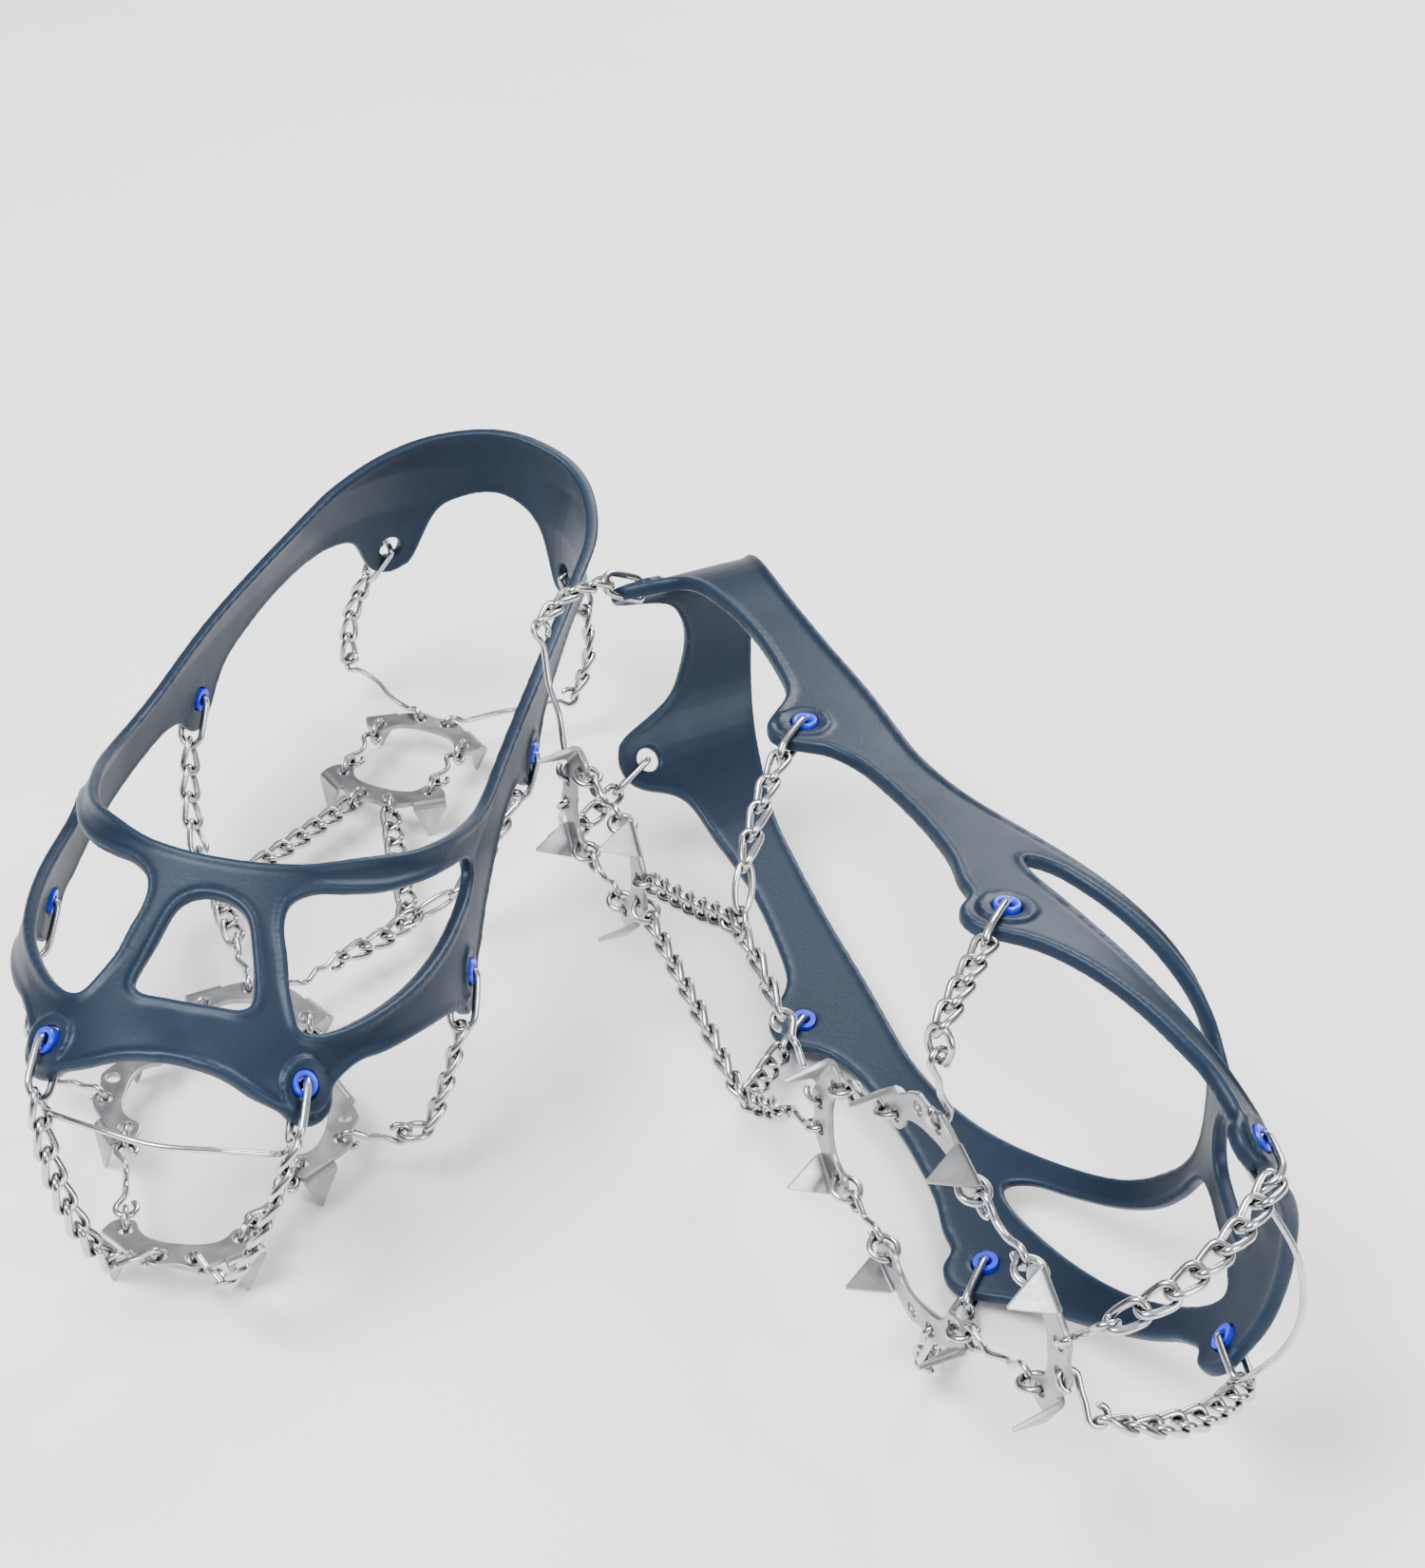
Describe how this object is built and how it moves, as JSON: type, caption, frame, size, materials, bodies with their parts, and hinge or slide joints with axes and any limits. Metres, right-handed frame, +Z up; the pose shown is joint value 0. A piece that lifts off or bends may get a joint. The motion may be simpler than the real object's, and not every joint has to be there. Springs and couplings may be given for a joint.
{
  "type": "shoe ice cleats",
  "caption": "Pair of pull-on ice cleats for boots: elastic harness with eyelets, chains to a ring of spiked steel plates under the sole; one stands on its spikes, the other lies on its side.",
  "frame": {"origin": "centre of the footprint of the pair, on the ground", "axes": "+Z up; the toe of the standing cleat points to -Y; the other cleat lies on its left side to the +X side of it"},
  "size_m": [0.3252, 0.331, 0.1215],
  "materials": {
    "harness": "satin dark slate blue elastomer with raised rims",
    "bush": "bright blue moulded plastic",
    "plate": "stamped stainless steel, satin",
    "steel": "stainless steel wire, polished"
  },
  "bodies": {
    "standing_harness": {"standing_harness": "harness", "standing_toe_bush_left": "bush", "standing_toe_bush_right": "bush", "standing_ball_bush_left": "bush", "standing_ball_bush_right": "bush", "standing_arch_bush_left": "bush", "standing_arch_bush_right": "bush"},
    "standing_rear_heel_plate": {"standing_rear_heel_plate": "plate"},
    "standing_front_heel_plate": {"standing_front_heel_plate": "plate"},
    "standing_rear_ball_plate": {"standing_rear_ball_plate": "plate"},
    "standing_toe_plate": {"standing_toe_plate": "plate"},
    "standing_left_ball_plate": {"standing_left_ball_plate": "plate"},
    "standing_right_ball_plate": {"standing_right_ball_plate": "plate"},
    "standing_toe_chain_left": {"standing_toe_chain_left": "steel"},
    "standing_ball_chain_left": {"standing_ball_chain_left": "steel"},
    "standing_arch_chain_left": {"standing_arch_chain_left": "steel"},
    "standing_heel_chain_left": {"standing_heel_chain_left": "steel"},
    "standing_waist_chain_left": {"standing_waist_chain_left": "steel"},
    "standing_rear_link_left": {"standing_rear_link_left": "steel"},
    "standing_front_link_left": {"standing_front_link_left": "steel"},
    "standing_heel_link_left": {"standing_heel_link_left": "steel"},
    "standing_toe_chain_right": {"standing_toe_chain_right": "steel"},
    "standing_ball_chain_right": {"standing_ball_chain_right": "steel"},
    "standing_arch_chain_right": {"standing_arch_chain_right": "steel"},
    "standing_heel_chain_right": {"standing_heel_chain_right": "steel"},
    "standing_waist_chain_right": {"standing_waist_chain_right": "steel"},
    "standing_rear_link_right": {"standing_rear_link_right": "steel"},
    "standing_front_link_right": {"standing_front_link_right": "steel"},
    "standing_heel_link_right": {"standing_heel_link_right": "steel"},
    "standing_toe_wire": {"standing_toe_wire": "steel"},
    "lying_harness": {"lying_harness": "harness", "lying_toe_bush_left": "bush", "lying_toe_bush_right": "bush", "lying_ball_bush_left": "bush", "lying_ball_bush_right": "bush", "lying_arch_bush_left": "bush", "lying_arch_bush_right": "bush"},
    "lying_rear_heel_plate": {"lying_rear_heel_plate": "plate"},
    "lying_front_heel_plate": {"lying_front_heel_plate": "plate"},
    "lying_rear_ball_plate": {"lying_rear_ball_plate": "plate"},
    "lying_toe_plate": {"lying_toe_plate": "plate"},
    "lying_left_ball_plate": {"lying_left_ball_plate": "plate"},
    "lying_right_ball_plate": {"lying_right_ball_plate": "plate"},
    "lying_toe_chain_left": {"lying_toe_chain_left": "steel"},
    "lying_ball_chain_left": {"lying_ball_chain_left": "steel"},
    "lying_arch_chain_left": {"lying_arch_chain_left": "steel"},
    "lying_heel_chain_left": {"lying_heel_chain_left": "steel"},
    "lying_waist_chain_left": {"lying_waist_chain_left": "steel"},
    "lying_rear_link_left": {"lying_rear_link_left": "steel"},
    "lying_front_link_left": {"lying_front_link_left": "steel"},
    "lying_heel_link_left": {"lying_heel_link_left": "steel"},
    "lying_toe_chain_right": {"lying_toe_chain_right": "steel"},
    "lying_ball_chain_right": {"lying_ball_chain_right": "steel"},
    "lying_arch_chain_right": {"lying_arch_chain_right": "steel"},
    "lying_heel_chain_right": {"lying_heel_chain_right": "steel"},
    "lying_waist_chain_right": {"lying_waist_chain_right": "steel"},
    "lying_rear_link_right": {"lying_rear_link_right": "steel"},
    "lying_front_link_right": {"lying_front_link_right": "steel"},
    "lying_heel_link_right": {"lying_heel_link_right": "steel"},
    "lying_toe_wire": {"lying_toe_wire": "steel"}
  },
  "joints": [
    {"name": "standing_rear_heel_plate_tilt", "type": "hinge", "parent": "standing_harness", "child": "standing_rear_heel_plate", "pos_m": [-0.09762, 0.11533, 0.0111], "axis": [0.99, -0.1412, 0], "range_deg": [-6, 6]},
    {"name": "standing_front_heel_plate_tilt", "type": "hinge", "parent": "standing_harness", "child": "standing_front_heel_plate", "pos_m": [-0.10274, 0.07633, 0.0111], "axis": [-0.9935, 0.114, 0], "range_deg": [-6, 6]},
    {"name": "standing_rear_ball_plate_tilt", "type": "hinge", "parent": "standing_harness", "child": "standing_rear_ball_plate", "pos_m": [-0.10649, -0.02567, 0.0111], "axis": [0.9987, 0.0514, 0], "range_deg": [-6, 6]},
    {"name": "standing_toe_plate_tilt", "type": "hinge", "parent": "standing_harness", "child": "standing_toe_plate", "pos_m": [-0.09575, -0.12167, 0.0111], "axis": [-0.9897, -0.143, 0], "range_deg": [-6, 6]},
    {"name": "standing_left_ball_plate_tilt", "type": "hinge", "parent": "standing_harness", "child": "standing_left_ball_plate", "pos_m": [-0.07262, -0.07067, 0.0111], "axis": [0.1151, -0.9934, 0], "range_deg": [-6, 6]},
    {"name": "standing_right_ball_plate_tilt", "type": "hinge", "parent": "standing_harness", "child": "standing_right_ball_plate", "pos_m": [-0.13011, -0.07067, 0.0111], "axis": [-0.1151, 0.9934, 0], "range_deg": [-6, 6]},
    {"name": "standing_toe_chain_left_swing", "type": "hinge", "parent": "standing_harness", "child": "standing_toe_chain_left", "pos_m": [-0.06657, -0.11446, 0.06493], "axis": [-0.4147, -0.1503, -0.8975], "range_deg": [-10, 4]},
    {"name": "standing_ball_chain_left_swing", "type": "hinge", "parent": "standing_harness", "child": "standing_ball_chain_left", "pos_m": [-0.04606, -0.04303, 0.04748], "axis": [-0.4429, -0.5851, -0.6793], "range_deg": [-10, 10]},
    {"name": "standing_arch_chain_left_swing", "type": "hinge", "parent": "standing_harness", "child": "standing_arch_chain_left", "pos_m": [-0.05295, 0.05432, 0.05021], "axis": [-0.4228, -0.6227, -0.6584], "range_deg": [-8, 8]},
    {"name": "standing_heel_chain_left_swing", "type": "hinge", "parent": "standing_harness", "child": "standing_heel_chain_left", "pos_m": [-0.06301, 0.15255, 0.05219], "axis": [-0.4878, -0.5698, -0.6613], "range_deg": [-10, 10]},
    {"name": "standing_waist_chain_left_swing", "type": "hinge", "parent": "standing_harness", "child": "standing_waist_chain_left", "pos_m": [-0.09904, 0.07349, 0.0111], "axis": [-0.0371, -0.9993, 0], "range_deg": [-6, 6]},
    {"name": "standing_rear_link_left_swing", "type": "hinge", "parent": "standing_harness", "child": "standing_rear_link_left", "pos_m": [-0.09223, -0.03034, 0.0111], "axis": [0.4233, -0.906, 0], "range_deg": [-15, 15]},
    {"name": "standing_front_link_left_swing", "type": "hinge", "parent": "standing_harness", "child": "standing_front_link_left", "pos_m": [-0.07637, -0.0852, 0.0111], "axis": [-0.211, -0.9775, 0], "range_deg": [-15, 15]},
    {"name": "standing_heel_link_left_swing", "type": "hinge", "parent": "standing_harness", "child": "standing_heel_link_left", "pos_m": [-0.08452, 0.10801, 0.0111], "axis": [-0.1312, -0.9914, 0], "range_deg": [-15, 15]},
    {"name": "standing_toe_chain_right_swing", "type": "hinge", "parent": "standing_harness", "child": "standing_toe_chain_right", "pos_m": [-0.12671, -0.1147, 0.06484], "axis": [0.4476, -0.1624, -0.8794], "range_deg": [-4, 10]},
    {"name": "standing_ball_chain_right_swing", "type": "hinge", "parent": "standing_harness", "child": "standing_ball_chain_right", "pos_m": [-0.1579, -0.04331, 0.04748], "axis": [0.4729, -0.578, -0.6651], "range_deg": [-10, 10]},
    {"name": "standing_arch_chain_right_swing", "type": "hinge", "parent": "standing_harness", "child": "standing_arch_chain_right", "pos_m": [-0.15131, 0.05462, 0.05021], "axis": [0.3354, -0.6501, -0.6818], "range_deg": [-8, 8]},
    {"name": "standing_heel_chain_right_swing", "type": "hinge", "parent": "standing_harness", "child": "standing_heel_chain_right", "pos_m": [-0.12171, 0.15274, 0.05218], "axis": [0.3566, -0.6005, -0.7157], "range_deg": [-10, 10]},
    {"name": "standing_waist_chain_right_swing", "type": "hinge", "parent": "standing_harness", "child": "standing_waist_chain_right", "pos_m": [-0.10698, 0.0744, 0.0111], "axis": [-0.037, -0.9993, 0], "range_deg": [-6, 6]},
    {"name": "standing_rear_link_right_swing", "type": "hinge", "parent": "standing_harness", "child": "standing_rear_link_right", "pos_m": [-0.12019, -0.03178, 0.0111], "axis": [-0.2453, -0.9695, 0], "range_deg": [-15, 15]},
    {"name": "standing_front_link_right_swing", "type": "hinge", "parent": "standing_harness", "child": "standing_front_link_right", "pos_m": [-0.12314, -0.08396, 0.0111], "axis": [0.3481, -0.9375, 0], "range_deg": [-15, 15]},
    {"name": "standing_heel_link_right_swing", "type": "hinge", "parent": "standing_harness", "child": "standing_heel_link_right", "pos_m": [-0.11224, 0.11196, 0.0111], "axis": [-0.1311, -0.9914, 0], "range_deg": [-15, 15]},
    {"name": "standing_toe_wire_swing", "type": "hinge", "parent": "standing_harness", "child": "standing_toe_wire", "pos_m": [-0.12095, -0.13067, 0.0575], "axis": [1, 0, 0], "range_deg": [-15, 60]},
    {"name": "lying_rear_heel_plate_tilt", "type": "hinge", "parent": "lying_harness", "child": "lying_rear_heel_plate", "pos_m": [-0.03412, 0.03017, 0.0551], "axis": [0.0025, 0.1261, -0.992], "range_deg": [-6, 6]},
    {"name": "lying_front_heel_plate_tilt", "type": "hinge", "parent": "lying_harness", "child": "lying_front_heel_plate", "pos_m": [-0.00972, -0.0005, 0.0517], "axis": [-0.0194, -0.1047, 0.9943], "range_deg": [-6, 6]},
    {"name": "lying_rear_ball_plate_tilt", "type": "hinge", "parent": "lying_harness", "child": "lying_rear_ball_plate", "pos_m": [0.05321, -0.08085, 0.05241], "axis": [0.1214, -0.0256, -0.9923], "range_deg": [-6, 6]},
    {"name": "lying_toe_plate_tilt", "type": "hinge", "parent": "lying_harness", "child": "lying_toe_plate", "pos_m": [0.11116, -0.15669, 0.0673], "axis": [-0.1768, 0.098, 0.9794], "range_deg": [-6, 6]},
    {"name": "lying_left_ball_plate_tilt", "type": "hinge", "parent": "lying_harness", "child": "lying_left_ball_plate", "pos_m": [0.08295, -0.11597, 0.03085], "axis": [0.5993, -0.7848, 0.1579], "range_deg": [-6, 6]},
    {"name": "lying_right_ball_plate_tilt", "type": "hinge", "parent": "lying_harness", "child": "lying_right_ball_plate", "pos_m": [0.07778, -0.11683, 0.0881], "axis": [-0.5993, 0.7848, -0.1579], "range_deg": [-6, 6]},
    {"name": "lying_toe_chain_left_swing", "type": "hinge", "parent": "lying_harness", "child": "lying_toe_chain_left", "pos_m": [0.15182, -0.11768, 0.04046], "axis": [-0.6304, -0.6756, 0.3824], "range_deg": [-10, 4]},
    {"name": "lying_ball_chain_left_swing", "type": "hinge", "parent": "lying_harness", "child": "lying_ball_chain_left", "pos_m": [0.0972, -0.07161, 0.0049], "axis": [-0.2096, -0.8718, 0.4428], "range_deg": [-10, 10]},
    {"name": "lying_arch_chain_left_swing", "type": "hinge", "parent": "lying_harness", "child": "lying_arch_chain_left", "pos_m": [0.03865, 0.00717, 0.00741], "axis": [-0.1661, -0.9369, 0.3077], "range_deg": [-8, 8]},
    {"name": "lying_heel_chain_left_swing", "type": "hinge", "parent": "lying_harness", "child": "lying_heel_chain_left", "pos_m": [-0.02269, 0.08529, 0.03277], "axis": [-0.2249, -0.9189, 0.324], "range_deg": [-10, 10]},
    {"name": "lying_waist_chain_left_swing", "type": "hinge", "parent": "lying_harness", "child": "lying_waist_chain_left", "pos_m": [-0.00816, -0.00196, 0.04756], "axis": [0.6166, -0.7872, 0.0067], "range_deg": [-6, 6]},
    {"name": "lying_rear_link_left_swing", "type": "hinge", "parent": "lying_harness", "child": "lying_rear_link_left", "pos_m": [0.0582, -0.08547, 0.03903], "axis": [0.617, -0.7606, -0.202], "range_deg": [-15, 15]},
    {"name": "lying_front_link_left_swing", "type": "hinge", "parent": "lying_harness", "child": "lying_front_link_left", "pos_m": [0.09048, -0.12655, 0.03838], "axis": [0.544, -0.7442, 0.3875], "range_deg": [-15, 15]},
    {"name": "lying_heel_link_left_swing", "type": "hinge", "parent": "lying_harness", "child": "lying_heel_link_left", "pos_m": [-0.03073, 0.02773, 0.04069], "axis": [0.6202, -0.7796, -0.0873], "range_deg": [-15, 15]},
    {"name": "lying_toe_chain_right_swing", "type": "hinge", "parent": "lying_harness", "child": "lying_toe_chain_right", "pos_m": [0.14633, -0.11834, 0.10035], "axis": [-0.5744, -0.6642, -0.4783], "range_deg": [-4, 10]},
    {"name": "lying_ball_chain_right_swing", "type": "hinge", "parent": "lying_harness", "child": "lying_ball_chain_right", "pos_m": [0.08696, -0.07307, 0.11627], "axis": [-0.1339, -0.8725, -0.47], "range_deg": [-10, 10]},
    {"name": "lying_arch_chain_right_swing", "type": "hinge", "parent": "lying_harness", "child": "lying_arch_chain_right", "pos_m": [0.02998, 0.00546, 0.10537], "axis": [-0.0962, -0.8895, -0.4466], "range_deg": [-8, 8]},
    {"name": "lying_heel_chain_right_swing", "type": "hinge", "parent": "lying_harness", "child": "lying_heel_chain_right", "pos_m": [-0.02784, 0.08426, 0.09123], "axis": [-0.1251, -0.8487, -0.5139], "range_deg": [-10, 10]},
    {"name": "lying_waist_chain_right_swing", "type": "hinge", "parent": "lying_harness", "child": "lying_waist_chain_right", "pos_m": [-0.00831, -0.00279, 0.05551], "axis": [0.6166, -0.7872, 0.0067], "range_deg": [-6, 6]},
    {"name": "lying_rear_link_right_swing", "type": "hinge", "parent": "lying_harness", "child": "lying_rear_link_right", "pos_m": [0.0548, -0.08475, 0.06682], "axis": [0.5179, -0.7206, 0.4611], "range_deg": [-15, 15]},
    {"name": "lying_front_link_right_swing", "type": "hinge", "parent": "lying_harness", "child": "lying_front_link_right", "pos_m": [0.08703, -0.12823, 0.085], "axis": [0.6189, -0.7674, -0.1675], "range_deg": [-15, 15]},
    {"name": "lying_heel_link_right_swing", "type": "hinge", "parent": "lying_harness", "child": "lying_heel_link_right", "pos_m": [-0.0308, 0.0242, 0.06846], "axis": [0.6202, -0.7796, -0.0874], "range_deg": [-15, 15]},
    {"name": "lying_toe_wire_swing", "type": "hinge", "parent": "lying_harness", "child": "lying_toe_wire", "pos_m": [0.15058, -0.13567, 0.09909], "axis": [0.09, 0.015, -0.9958], "range_deg": [-15, 60]},
    {"name": "pair_apart", "type": "slide", "parent": "standing_harness", "child": "lying_harness", "axis": [1, 0, 0], "range_m": [0, 0.15]}
  ]
}
